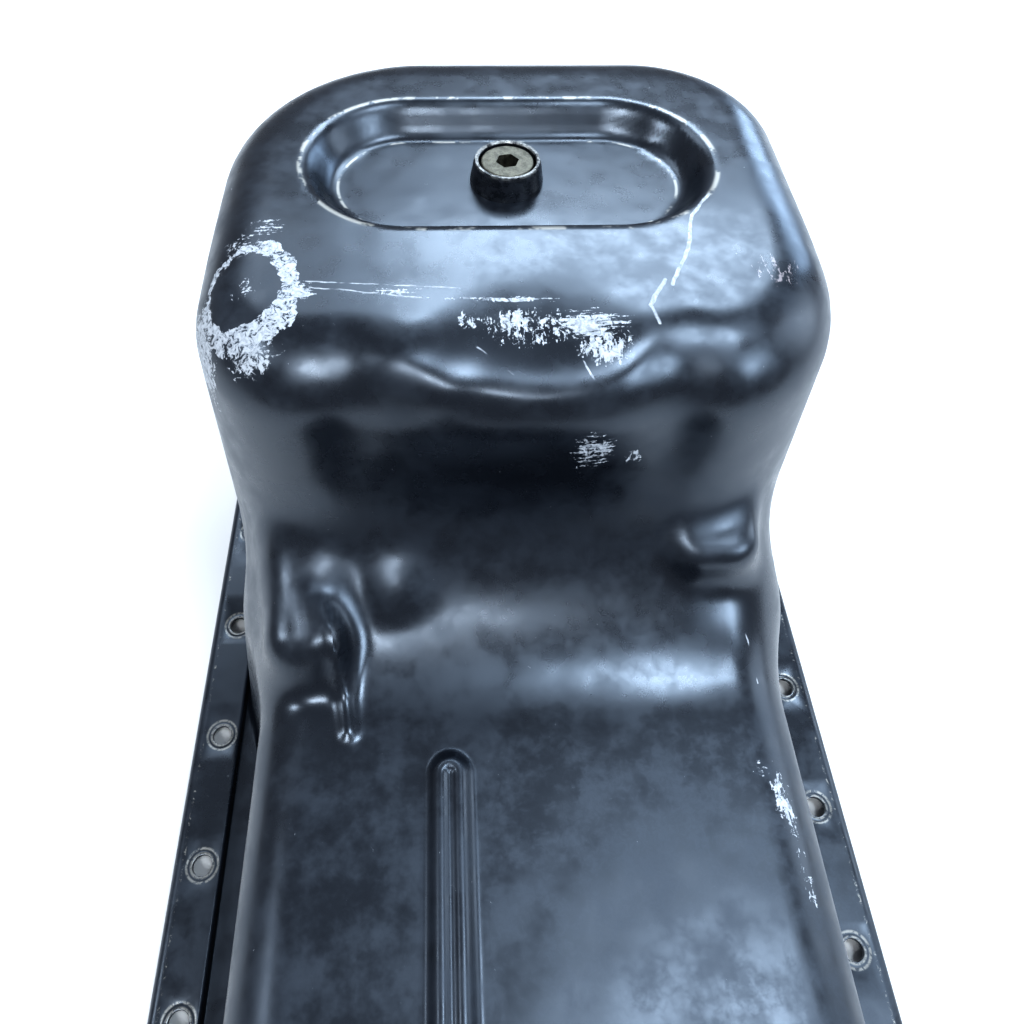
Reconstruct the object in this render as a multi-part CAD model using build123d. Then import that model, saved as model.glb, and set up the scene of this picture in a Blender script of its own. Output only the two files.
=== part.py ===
from build123d import *
import math
import os

import numpy as np

# Deep-drawn engine oil pan, lying on its flange with the sump upwards.
# Millimetres. X runs across the pan, +Y towards the sump end, +Z away from
# the engine block. The origin is the centre of the flange at the plane that
# the pan rests on.

# ---- sheet and flange ----
SHEET = 2.0               # thickness of the pressed sheet
FL_X = 162.5              # half width over the flange lip
FL_Y = 370.0              # half length over the flange lip
FL_R = 27.0               # plan radius of the flange corners
RAIL_Z = 8.0              # top of the bolting rail over the resting plane
RAIL_OUT = 5.2            # lip edge to the flat of the rail
RAIL_W = 18.0             # flat width of the rail
LIP_R = 4.5               # bend between rail and lip
STEP_R = 1.4              # outer edge radius at the inner side of the rail
HOLE_R = 4.5              # clearance hole for an M8 flange bolt
HOLE_IN = RAIL_OUT + RAIL_W / 2          # hole line in from the lip
PITCH = 60.0              # pitch of the bolts along the sides
LEFT_Y0, N_LEFT = -284.1, 11
RIGHT_Y0, N_RIGHT = -327.0, 12
END_X = (-120.0, -60.0, 0.0, 60.0, 120.0)

# ---- drawn sump and shallow end ----
WALL_L, WALL_R = -133.5, 130.5           # wall feet of the sump
WALL_FAR, WALL_NEAR = 340.0, -341.0      # end wall feet
DEPTH = 235.0             # sump face over the resting plane
SHALLOW = 115.0           # shallow floor over the resting plane
LOW_L, LOW_R = -125.5, 125.5               # wall feet of the shallow end
BLEND = 66.0              # inner corner between shallow end and sump
DRAFT_SUMP, DRAFT_FRONT = 2.0, 6.0
DRAFT_SHALLOW, DRAFT_NEAR = 10.0, 8.0
SHOULDER, SHOULDER_LOW = 28.0, 20.0      # shoulder radii
FRONT_Y = 118.0           # steep front of the sump, half way up
CORNERS = (54.0, 62.0, 87.0, 64.0)      # plan radii: front l/r, far l/r
RECESS = (-2.5, 238.5, 41.5, 38.0, 13.0)  # centre x, y, half run, radius, depth

# pads on the front slope: x from, x to, y from, y to, height at the front
RIGHT_PAD = (58.0, 97.0, 94.5, 150.0, 148.5)
LEFT_PAD = (-105.0, -71.0, 62.0, 130.0, 131.5)
# folds below the left pad: from, to, height, width
FOLDS = (((-88, 90), (-83, 70), 2.0, 3.4), ((-80, 84), (-73, 60), 2.6, 3.2), ((-75, 78), (-70, 43), 2.6, 2.6))
# knuckles: centre, height, width
KNUCKLES = (((-53, 94, 134), 5.0, 9.0), ((-46, 132, 226), 2.6, 8.5), ((-30, 128, 218), 2.0, 6.5))

# ---- drain ----
PLUG_XY = (-3.0, 240.5)
THREAD_R = 9.0            # M18 drain thread
BOSS_R, BOSS_DOWN = 15.5, 7.0
SEAT_UP = 4.5             # sealing seat over the recess floor
RIM_UP, RIM_R = 10.7, 13.6               # top of the raised rim round the plug
POCKET_R = 12.1           # inside of the rim
SHANK_R, BORE_R = 8.95, 9.0
COLLAR_R, COLLAR_H = 11.2, 4.2
HEX_AF, HEX_DEEP = 8.6, 7.0
WASHER_R, WASHER_H = 11.6, 1.2
SHANK_L = 14.0


def step(a, b, x):
    t = np.clip((x - a) / (b - a), 0, 1)
    return t * t * t * (t * (6 * t - 15) + 10)


def both(a, b, r):
    """Inside both shapes, with an outer edge of radius r."""
    u, v = np.maximum(a + r, 0), np.maximum(b + r, 0)
    return np.minimum(np.maximum(a, b), -r) + np.hypot(u, v)


def either(a, b, r):
    """Inside either shape, with an inner corner of radius r."""
    u, v = np.maximum(r - a, 0), np.maximum(r - b, 0)
    return np.maximum(np.minimum(a, b), r) - np.hypot(u, v)


def plan_box(x, y, xl, xr, yn, yf, rnl, rnr, rfl, rfr):
    cx, cy = (xl + xr) / 2, (yn + yf) / 2
    s = step(-20, 20, x - cx)
    r = np.where(y > cy, rfl + (rfr - rfl) * s, rnl + (rnr - rnl) * s)
    qx = np.abs(x - cx) - (xr - xl) / 2 + r
    qy = np.abs(y - cy) - (yf - yn) / 2 + r
    return (np.minimum(np.maximum(qx, qy), 0)
            + np.hypot(np.maximum(qx, 0), np.maximum(qy, 0)) - r)


def bell(t):
    return np.exp(-0.5 * t * t)


def blob(x, y, z, c, s):
    return bell(np.sqrt((x - c[0]) ** 2 + (y - c[1]) ** 2 + (z - c[2]) ** 2) / s)


def off_line(x, y, a, b):
    """Distance in plan from the line between two points."""
    dx, dy = b[0] - a[0], b[1] - a[1]
    k = np.clip(((x - a[0]) * dx + (y - a[1]) * dy) / (dx * dx + dy * dy), 0, 1)
    return np.hypot(x - a[0] - k * dx, y - a[1] - k * dy)


def face_height(x, y):
    """Height of the sump face with its drain recess."""
    fall = DEPTH - 0.045 * np.maximum(230.0 - y, 0) * step(230, 150, y)
    cx, cy, hl, r, deep = RECESS
    d = np.hypot(np.maximum(np.abs(x - cx) - hl, 0), y - cy) - r
    return fall - deep * (1 - step(-7.5, 7.5, d))


def floor_height(x, y):
    """Height of the shallow floor with its long bead."""
    d = np.hypot(x + 31.0, np.maximum(np.maximum(y - 26.0, -300.0 - y), 0))
    return SHALLOW + 4.0 * (1 - step(3.5, 10.0, d)) - 1.6 * (1 - step(0.0, 3.2, d))


def skin(x, y, z):
    """Distance outside the drawn body's outer skin, negative inside."""
    t = lambda a: math.tan(math.radians(a))
    ts, tl = t(DRAFT_SUMP), t(DRAFT_SHALLOW)
    # the front is drawn out in the middle and back on both sides of that
    wave = 5.0 * bell((x - 4) / 30.0) - 5.0 * bell((x - 54) / 12.0) - 3.0 * bell((x + 66) / 12.0)
    front = FRONT_Y + (z - 184.0) * t(DRAFT_FRONT) - wave * step(150, 215, z)
    w = plan_box(x, y, WALL_L + z * ts, WALL_R - z * ts, front, WALL_FAR - z * ts, *CORNERS)
    e = 0.5
    h = face_height(x, y)
    gx = (face_height(x + e, y) - h) / e
    gy = (face_height(x, y + e) - h) / e
    deep = both((z - h) / np.sqrt(1 + gx * gx + gy * gy), w, SHOULDER)
    # lens-shaped facet across the middle of the front edge
    facet = (z - (231.4 - 0.30 * (156.0 - y)) - 0.0032 * (x - 3.0) ** 2) * 0.957
    deep = both(deep, facet, 3.5)
    w = plan_box(x, y, LOW_L + z * tl, LOW_R - z * tl, WALL_NEAR + z * t(DRAFT_NEAR), 300.0,
                 55., 55., 50., 50.) + 42.0 * step(85, 165, y)
    low = both(z - floor_height(x, y), w, SHOULDER_LOW)
    f = either(deep, low, BLEND)
    # pillow-like pad on the right of the front slope
    top = (z - RIGHT_PAD[4] - 0.24 * (y - RIGHT_PAD[2])) * 0.97
    pad = both(top, plan_box(x, y, RIGHT_PAD[0], RIGHT_PAD[1], RIGHT_PAD[2], RIGHT_PAD[3],
                             14., 13., 12., 12.), 8.0)
    f = either(f, pad, 7.0)
    # lower pad on the left, gathered into three folds
    top = (z - LEFT_PAD[4] - 0.22 * (y - LEFT_PAD[2])) * 0.97
    pad = both(top, plan_box(x, y, LEFT_PAD[0], LEFT_PAD[1], LEFT_PAD[2], LEFT_PAD[3],
                             16., 14., 12., 12.), 12.0)
    f = either(f, pad, 11.0)
    folds = sum(h * bell(off_line(x, y, a, b) / w) for a, b, h, w in FOLDS)
    f = f - folds * step(108, 116, z)
    for c, h, w in KNUCKLES:
        f = f - h * blob(x, y, z, c, w)
    return f


# ---- sections ----
FAN_Z = 60.0      # rows of points stand upright to here, then lean towards the skin
# middle row points: base y, then y and z that the row leans towards
TARGET = np.array([(-300, -300, 160), (0, 0, 160), (22, 16, 150), (50, 28, 117), (80, 40, 115),
                   (115, 60, 117), (140, 90, 131), (152, 105, 150), (160, 118, 190),
                   (164, 121, 205), (168, 128, 222), (173, 140, 231), (180, 155, 233),
                   (188, 180, 234), (192, 189, 235), (200, 200, 235), (300, 300, 235)], float)


def leave(f, at, lo, hi):
    """Length at which each ray leaves the body; at(length) gives x, y, z."""
    for _ in range(40):
        m = (lo + hi) / 2
        out = f(*at(m)) > 0
        lo, hi = np.where(out, lo, m), np.where(out, m, hi)
    return (lo + hi) / 2


def rows(f, n_floor, n_fan, face_y, near, far, rb):
    """Base y and lean of each row of points, close together on the end walls."""
    fan = np.interp(np.linspace(0, 12, n_fan + 1)[:-1], np.arange(13), TARGET[1:14, 0])
    base = np.r_[np.linspace(-296, 0, n_floor + 1)[:-1], fan, face_y]
    ends = []
    for sign, (y_top, high, r, n, na) in ((-1, near), (1, far)):
        y0 = sign * (y_top - r)
        z = np.linspace(rb + FAN_Z + 6.0, high - r, n + 1)[:-1]
        wall = leave(f, lambda m: (0 * m - 2.0, y0 + sign * m, z + 0 * m), 0 * z, 0 * z + r + 70.0)
        a = np.linspace(0, math.pi / 2, na)
        arc = leave(f, lambda m: (0 * m - 2.0, y0 + sign * m * np.cos(a), high - r + m * np.sin(a)),
                    0 * a, 0 * a + 90.0)
        ends.append(np.r_[y0 + sign * wall, y0 + sign * arc * np.cos(a)])
    first, last = ends[0], ends[1][::-1]
    lean = np.interp(base, TARGET[:, 0], TARGET[:, 1]) - base
    rise = np.interp(base, TARGET[:, 0], TARGET[:, 2]) - FAN_Z
    n = np.hypot(lean, rise)
    b = np.r_[first, base, last]
    return b, np.r_[0 * first, lean / n, 0 * last], np.r_[0 * first + 1, rise / n, 0 * last + 1]


def row_points(f, b, dy, dz, rb, n_wall, n_arc, across, rho=24.0):
    """Points round each row: up one wall, over the top, and down the other."""
    b, dy, dz = b[:, None], dy[:, None], dz[:, None]
    o = np.zeros(b.shape)
    place = lambda r: (b + np.maximum(r, 0) * dy, FAN_Z + np.where(r > 0, r * dz, r))
    ray = lambda x, r, dx, dr, far: leave(f, lambda m: (x + m * dx, *place(r + m * dr)),
                                          0 * (x + r), 0 * (x + r) + far)
    up = lambda x: ray(x, o + rb, 0, 1, 330.0) + rb
    sides, walls = [], []
    for sign in (-1, 1):
        foot = ray(o, o + rb, sign, 0, 170.0)
        high = up(sign * np.maximum(foot - 40.0, 2.0))
        r = np.minimum(np.minimum(rho, 0.45 * np.maximum(high - rb, 2.0)), 0.3 * foot)
        rc = high - r
        xc = np.maximum(ray(o, rc, sign, 0, 170.0) - 1.1 * r, 1.0)
        rc = np.maximum(np.minimum(rc, up(sign * xc) - 0.8 * r), rb + 1.0)
        sides.append(xc)
        r = rb + (rc - rb) * np.linspace(0, 1, n_wall + 1)[:-1][None]
        wall = ray(sign * xc + 0 * r, r, sign, 0, 175.0)
        a = np.linspace(0, math.pi / 2, n_arc + 1)[None]
        arc = ray(sign * xc + 0 * a, rc + 0 * a, sign * np.cos(a), np.sin(a), 165.0)
        walls.append((np.c_[sign * (xc + wall), sign * (xc + arc * np.cos(a))],
                      np.c_[r, rc + arc * np.sin(a)]))
    k = (np.asarray(across)[None] + 90.0) / 180.0
    xt = -sides[0] * (1 - k) + sides[1] * k
    x = np.c_[walls[0][0], xt, walls[1][0][:, ::-1]]
    y, z = place(np.c_[walls[0][1], up(xt + 0 * o), walls[1][1][:, ::-1]])
    return np.stack([x, y, z], -1)


def slopes(p, u):
    """Derivative at each node along axis 0, from its two neighbours."""
    h = np.diff(u)[:, None, None]
    s = np.diff(p, axis=0) / h
    mid = (h[1:] * s[:-1] + h[:-1] * s[1:]) / (h[1:] + h[:-1])
    return np.concatenate([s[:1], mid, s[-1:]])


def patches(p):
    """Smooth cubic patches through a grid of points, and their edge poles."""
    length = lambda q: np.r_[0, np.cumsum(np.linalg.norm(np.diff(q, axis=0), axis=2).mean(1))]
    u, v = length(p), length(p.swapaxes(0, 1))
    pu = slopes(p, u)
    pv = slopes(p.swapaxes(0, 1), v).swapaxes(0, 1)
    puv = slopes(pu.swapaxes(0, 1), v).swapaxes(0, 1)
    hu, hv = np.diff(u), np.diff(v)

    def poles(i, j):
        a, b = hu[i] / 3, hv[j] / 3
        c = np.zeros((4, 4, 3))
        for r, (ii, sa) in enumerate(((i, 1), (i + 1, -1))):
            for q, (jj, sb) in enumerate(((j, 1), (j + 1, -1))):
                n, m = 3 * r, 3 * q
                n1, m1 = n + sa, m + sb
                c[n, m] = p[ii, jj]
                c[n1, m] = p[ii, jj] + sa * a * pu[ii, jj]
                c[n, m1] = p[ii, jj] + sb * b * pv[ii, jj]
                c[n1, m1] = (p[ii, jj] + sa * a * pu[ii, jj] + sb * b * pv[ii, jj]
                             + sa * sb * a * b * puv[ii, jj])
        return c

    return [[poles(i, j) for j in range(len(hv))] for i in range(len(hu))]


def vec(q):
    return Vector(float(q[0]), float(q[1]), float(q[2]))


def curve(poles):
    return Edge.make_bezier(*[vec(q) for q in poles])


def drawn_solid(f, near, far, zb, n_floor=6, n_fan=22, n_wall=4, n_arc=3):
    """Solid under a skin, from smooth patches through its rows of points."""
    b, dy, dz = rows(f, n_floor, n_fan, FACE_Y, near, far, zb - FAN_Z)
    grid = row_points(f, b, dy, dz, zb - FAN_Z, n_wall, n_arc, ACROSS)
    net = patches(grid)
    faces = [Face.make_bezier_surface([[vec(q) for q in row] for row in c]) for line in net for c in line]
    rows_n, cols = len(net), len(net[0])
    left = [curve(net[i][0][:, 0]) for i in range(rows_n)]
    right = [curve(net[i][-1][:, 3]) for i in range(rows_n)]
    first = [curve(net[0][j][0]) for j in range(cols)]
    last = [curve(net[-1][j][3]) for j in range(cols)]
    base = [Edge.make_line(vec(grid[r][0]), vec(grid[r][-1])) for r in (0, -1)]
    faces.append(Face(Wire(first + [base[0]])))
    faces.append(Face(Wire(last + [base[1]])))
    faces.append(Face(Wire(left + right + base)))
    return Solid(Shell(faces)), grid


def slab(x, y, r, z0, z1):
    return Pos(0, 0, z0) * extrude(RectangleRounded(2 * x, 2 * y, r), z1 - z0)


FACE_Y = (189, 194, 198, 201, 204, 208, 213, 226, 251, 264, 269, 273, 276, 280, 285, 291, 297)
ACROSS = (-74, -63, -54, -46, -38, -34, -31, -28, -24, -16, -6, 6, 18, 30, 39, 48, 57, 66, 75)


def main():
    os.makedirs("parts", exist_ok=True)
    outer, _ = drawn_solid(skin, (328.0, SHALLOW, 20.0, 2, 4), (326.0, DEPTH, 25.0, 4, 5), -12.0)
    print("outer", outer.is_valid, outer.volume)
    inner, _ = drawn_solid(lambda x, y, z: skin(x, y, z) + SHEET, (326.0, SHALLOW - SHEET, 18.0, 2, 4),
                           (324.0, DEPTH - SHEET, 23.0, 4, 5), -16.0)
    print("inner", inner.is_valid, inner.volume)
    outer = outer - Pos(0, 0, 1.0 - 50) * Box(600, 1000, 100)
    inner = inner - Pos(0, 0, -3.0 - 50) * Box(600, 1000, 100)
    print("cut", outer.is_valid, outer.volume, inner.is_valid, inner.volume)

    # flange: a lip, the bolting rail with its gasket channel, and the web
    ix = RAIL_OUT + RAIL_W
    rim = slab(FL_X, FL_Y, FL_R, 0, RAIL_Z)
    rim = fillet(rim.faces().sort_by(Axis.Z)[-1].edges(), LIP_R)
    well = slab(FL_X - ix, FL_Y - ix, FL_R - ix, SHEET, RAIL_Z + 1)
    rim = rim - well
    channel = slab(FL_X - SHEET, FL_Y - SHEET, FL_R - SHEET, -1, RAIL_Z - SHEET)
    channel = fillet(channel.faces().sort_by(Axis.Z)[-1].edges(), LIP_R - SHEET)
    core = slab(FL_X - ix + SHEET, FL_Y - ix + SHEET, FL_R - ix + SHEET, -2, RAIL_Z)
    rim = rim - (channel - core)
    top_in = [e for e in rim.edges() if abs(e.center().Z - RAIL_Z) < 1e-3
              and max(abs(e.center().X) - (FL_X - ix), abs(e.center().Y) - (FL_Y - ix)) < 1.0]
    rim = fillet(top_in, STEP_R)
    holes = [(-FL_X + HOLE_IN, LEFT_Y0 + PITCH * i) for i in range(N_LEFT)]
    holes += [(FL_X - HOLE_IN, RIGHT_Y0 + PITCH * i) for i in range(N_RIGHT)]
    holes += [(x, s * (FL_Y - HOLE_IN)) for x in END_X for s in (-1, 1)]
    drill = [Pos(x, y, 4) * Cylinder(HOLE_R, 12) for x, y in holes]
    rim = rim - drill
    print("rim", rim.is_valid, rim.volume)
    body = rim + outer
    print("sum", body.is_valid, len(body.solids()), body.volume)
    body = body - inner
    print("sheet", body.is_valid, len(body.solids()), body.volume)
    floor_z = DEPTH - RECESS[4]
    body = body - Pos(*PLUG_XY, floor_z) * Cylinder(BOSS_R, 20)
    print("body", body.is_valid, len(body.solids()), body.volume, len(body.faces()))
    export_step(body, "parts/pan_body.step")

    # drain boss: a turned bush welded into the recess floor
    bx, by = PLUG_XY
    seat, low, top = floor_z + SEAT_UP, floor_z - SHEET - BOSS_DOWN, floor_z + RIM_UP
    outline = Polyline((BORE_R, low + 0.9), (BORE_R + 0.9, low), (BOSS_R, low), (BOSS_R, floor_z + 2.0),
                       (RIM_R + 0.6, top - 1.6), (RIM_R, top), (POCKET_R + 0.4, top), (POCKET_R, top - 0.5),
                       (POCKET_R, seat), (BORE_R + 0.9, seat), (BORE_R, seat - 0.9), close=True)
    boss = Pos(bx, by, 0) * revolve(make_face(Plane.XZ * outline), Axis.Z, 360)
    export_step(boss, "parts/drain_boss.step")

    # sealing washer between boss and plug collar
    washer = Pos(bx, by, seat + WASHER_H / 2) * (Cylinder(WASHER_R, WASHER_H) - Cylinder(BORE_R + 0.3, WASHER_H))
    export_step(washer, "parts/sealing_washer.step")

    # socket-head drain plug
    z0 = seat + WASHER_H
    plug = Pos(bx, by, z0 + COLLAR_H / 2) * Cylinder(COLLAR_R, COLLAR_H)
    plug = fillet(plug.edges().sort_by(Axis.Z)[-1], 0.9)
    shank = Pos(bx, by, z0 - SHANK_L / 2) * Cylinder(SHANK_R, SHANK_L)
    shank = chamfer(shank.edges().sort_by(Axis.Z)[0], 1.2)
    plug = plug + shank
    socket = Pos(bx, by, z0 + COLLAR_H - HEX_DEEP) * extrude(
        RegularPolygon(HEX_AF / 2, 6, major_radius=False, rotation=11), HEX_DEEP + 1)
    plug = plug - socket
    print("boss", boss.is_valid, "plug", plug.is_valid, plug.volume)
    export_step(plug, "parts/drain_plug.step")


if __name__ == "__main__":
    main()
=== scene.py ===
import math

import bmesh
import bpy
import numpy as np
from mathutils import Matrix, Vector
from mathutils.geometry import delaunay_2d_cdt


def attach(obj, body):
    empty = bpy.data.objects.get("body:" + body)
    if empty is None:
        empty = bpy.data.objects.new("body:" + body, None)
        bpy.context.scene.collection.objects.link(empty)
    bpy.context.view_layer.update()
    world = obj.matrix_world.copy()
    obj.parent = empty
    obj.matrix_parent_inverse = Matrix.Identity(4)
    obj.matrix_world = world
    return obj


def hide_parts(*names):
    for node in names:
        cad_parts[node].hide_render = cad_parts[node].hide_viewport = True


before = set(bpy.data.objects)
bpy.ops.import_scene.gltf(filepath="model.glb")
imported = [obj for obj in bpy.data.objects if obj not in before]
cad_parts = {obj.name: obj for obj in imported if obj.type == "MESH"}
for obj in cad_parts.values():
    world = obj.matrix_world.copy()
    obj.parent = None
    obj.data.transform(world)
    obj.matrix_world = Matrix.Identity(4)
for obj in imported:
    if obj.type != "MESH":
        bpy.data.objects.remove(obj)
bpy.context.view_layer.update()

# The pan's outer skin, in millimetres, in the frame of the part.
# ---- sheet and flange ----
SHEET = 2.0               # thickness of the pressed sheet
FL_X = 162.5              # half width over the flange lip
FL_Y = 370.0              # half length over the flange lip
FL_R = 27.0               # plan radius of the flange corners
RAIL_Z = 8.0              # top of the bolting rail over the resting plane
RAIL_OUT = 5.2            # lip edge to the flat of the rail
RAIL_W = 18.0             # flat width of the rail
LIP_R = 4.5               # bend between rail and lip
STEP_R = 1.4              # outer edge radius at the inner side of the rail
HOLE_R = 4.5              # clearance hole for an M8 flange bolt
HOLE_IN = RAIL_OUT + RAIL_W / 2          # hole line in from the lip
PITCH = 60.0              # pitch of the bolts along the sides
LEFT_Y0, N_LEFT = -284.1, 11
RIGHT_Y0, N_RIGHT = -327.0, 12
END_X = (-120.0, -60.0, 0.0, 60.0, 120.0)

# ---- drawn sump and shallow end ----
WALL_L, WALL_R = -133.5, 130.5           # wall feet of the sump
WALL_FAR, WALL_NEAR = 340.0, -341.0      # end wall feet
DEPTH = 235.0             # sump face over the resting plane
SHALLOW = 115.0           # shallow floor over the resting plane
LOW_L, LOW_R = -125.5, 125.5               # wall feet of the shallow end
BLEND = 66.0              # inner corner between shallow end and sump
DRAFT_SUMP, DRAFT_FRONT = 2.0, 6.0
DRAFT_SHALLOW, DRAFT_NEAR = 10.0, 8.0
SHOULDER, SHOULDER_LOW = 28.0, 20.0      # shoulder radii
FRONT_Y = 118.0           # steep front of the sump, half way up
CORNERS = (54.0, 62.0, 87.0, 64.0)      # plan radii: front l/r, far l/r
RECESS = (-2.5, 238.5, 41.5, 38.0, 13.0)  # centre x, y, half run, radius, depth

# pads on the front slope: x from, x to, y from, y to, height at the front
RIGHT_PAD = (58.0, 97.0, 94.5, 150.0, 148.5)
LEFT_PAD = (-105.0, -71.0, 62.0, 130.0, 131.5)
# folds below the left pad: from, to, height, width
FOLDS = (((-88, 90), (-83, 70), 2.0, 3.4), ((-80, 84), (-73, 60), 2.6, 3.2), ((-75, 78), (-70, 43), 2.6, 2.6))
# knuckles: centre, height, width
KNUCKLES = (((-53, 94, 134), 5.0, 9.0), ((-46, 132, 226), 2.6, 8.5), ((-30, 128, 218), 2.0, 6.5))

# ---- drain ----
PLUG_XY = (-3.0, 240.5)
THREAD_R = 9.0            # M18 drain thread
BOSS_R, BOSS_DOWN = 15.5, 7.0
SEAT_UP = 4.5             # sealing seat over the recess floor
RIM_UP, RIM_R = 10.7, 13.6               # top of the raised rim round the plug
POCKET_R = 12.1           # inside of the rim
SHANK_R, BORE_R = 8.95, 9.0
COLLAR_R, COLLAR_H = 11.2, 4.2
HEX_AF, HEX_DEEP = 8.6, 7.0
WASHER_R, WASHER_H = 11.6, 1.2
SHANK_L = 14.0


def step(a, b, x):
    t = np.clip((x - a) / (b - a), 0, 1)
    return t * t * t * (t * (6 * t - 15) + 10)


def both(a, b, r):
    """Inside both shapes, with an outer edge of radius r."""
    u, v = np.maximum(a + r, 0), np.maximum(b + r, 0)
    return np.minimum(np.maximum(a, b), -r) + np.hypot(u, v)


def either(a, b, r):
    """Inside either shape, with an inner corner of radius r."""
    u, v = np.maximum(r - a, 0), np.maximum(r - b, 0)
    return np.maximum(np.minimum(a, b), r) - np.hypot(u, v)


def plan_box(x, y, xl, xr, yn, yf, rnl, rnr, rfl, rfr):
    cx, cy = (xl + xr) / 2, (yn + yf) / 2
    s = step(-20, 20, x - cx)
    r = np.where(y > cy, rfl + (rfr - rfl) * s, rnl + (rnr - rnl) * s)
    qx = np.abs(x - cx) - (xr - xl) / 2 + r
    qy = np.abs(y - cy) - (yf - yn) / 2 + r
    return (np.minimum(np.maximum(qx, qy), 0)
            + np.hypot(np.maximum(qx, 0), np.maximum(qy, 0)) - r)


def bell(t):
    return np.exp(-0.5 * t * t)


def blob(x, y, z, c, s):
    return bell(np.sqrt((x - c[0]) ** 2 + (y - c[1]) ** 2 + (z - c[2]) ** 2) / s)


def off_line(x, y, a, b):
    """Distance in plan from the line between two points."""
    dx, dy = b[0] - a[0], b[1] - a[1]
    k = np.clip(((x - a[0]) * dx + (y - a[1]) * dy) / (dx * dx + dy * dy), 0, 1)
    return np.hypot(x - a[0] - k * dx, y - a[1] - k * dy)


def face_height(x, y):
    """Height of the sump face with its drain recess."""
    fall = DEPTH - 0.045 * np.maximum(230.0 - y, 0) * step(230, 150, y)
    cx, cy, hl, r, deep = RECESS
    d = np.hypot(np.maximum(np.abs(x - cx) - hl, 0), y - cy) - r
    return fall - deep * (1 - step(-7.5, 7.5, d))


def floor_height(x, y):
    """Height of the shallow floor with its long bead."""
    d = np.hypot(x + 31.0, np.maximum(np.maximum(y - 26.0, -300.0 - y), 0))
    return SHALLOW + 4.0 * (1 - step(3.5, 10.0, d)) - 1.6 * (1 - step(0.0, 3.2, d))


def skin(x, y, z):
    """Distance outside the drawn body's outer skin, negative inside."""
    t = lambda a: math.tan(math.radians(a))
    ts, tl = t(DRAFT_SUMP), t(DRAFT_SHALLOW)
    # the front is drawn out in the middle and back on both sides of that
    wave = 5.0 * bell((x - 4) / 30.0) - 5.0 * bell((x - 54) / 12.0) - 3.0 * bell((x + 66) / 12.0)
    front = FRONT_Y + (z - 184.0) * t(DRAFT_FRONT) - wave * step(150, 215, z)
    w = plan_box(x, y, WALL_L + z * ts, WALL_R - z * ts, front, WALL_FAR - z * ts, *CORNERS)
    e = 0.5
    h = face_height(x, y)
    gx = (face_height(x + e, y) - h) / e
    gy = (face_height(x, y + e) - h) / e
    deep = both((z - h) / np.sqrt(1 + gx * gx + gy * gy), w, SHOULDER)
    # lens-shaped facet across the middle of the front edge
    facet = (z - (231.4 - 0.30 * (156.0 - y)) - 0.0032 * (x - 3.0) ** 2) * 0.957
    deep = both(deep, facet, 3.5)
    w = plan_box(x, y, LOW_L + z * tl, LOW_R - z * tl, WALL_NEAR + z * t(DRAFT_NEAR), 300.0,
                 55., 55., 50., 50.) + 42.0 * step(85, 165, y)
    low = both(z - floor_height(x, y), w, SHOULDER_LOW)
    f = either(deep, low, BLEND)
    # pillow-like pad on the right of the front slope
    top = (z - RIGHT_PAD[4] - 0.24 * (y - RIGHT_PAD[2])) * 0.97
    pad = both(top, plan_box(x, y, RIGHT_PAD[0], RIGHT_PAD[1], RIGHT_PAD[2], RIGHT_PAD[3],
                             14., 13., 12., 12.), 8.0)
    f = either(f, pad, 7.0)
    # lower pad on the left, gathered into three folds
    top = (z - LEFT_PAD[4] - 0.22 * (y - LEFT_PAD[2])) * 0.97
    pad = both(top, plan_box(x, y, LEFT_PAD[0], LEFT_PAD[1], LEFT_PAD[2], LEFT_PAD[3],
                             16., 14., 12., 12.), 12.0)
    f = either(f, pad, 11.0)
    folds = sum(h * bell(off_line(x, y, a, b) / w) for a, b, h, w in FOLDS)
    f = f - folds * step(108, 116, z)
    for c, h, w in KNUCKLES:
        f = f - h * blob(x, y, z, c, w)
    return f


# ---- sections ----
FAN_Z = 60.0      # rows of points stand upright to here, then lean towards the skin
# middle row points: base y, then y and z that the row leans towards
TARGET = np.array([(-300, -300, 160), (0, 0, 160), (22, 16, 150), (50, 28, 117), (80, 40, 115),
                   (115, 60, 117), (140, 90, 131), (152, 105, 150), (160, 118, 190),
                   (164, 121, 205), (168, 128, 222), (173, 140, 231), (180, 155, 233),
                   (188, 180, 234), (192, 189, 235), (200, 200, 235), (300, 300, 235)], float)


def leave(f, at, lo, hi):
    """Length at which each ray leaves the body; at(length) gives x, y, z."""
    for _ in range(40):
        m = (lo + hi) / 2
        out = f(*at(m)) > 0
        lo, hi = np.where(out, lo, m), np.where(out, m, hi)
    return (lo + hi) / 2


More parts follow.
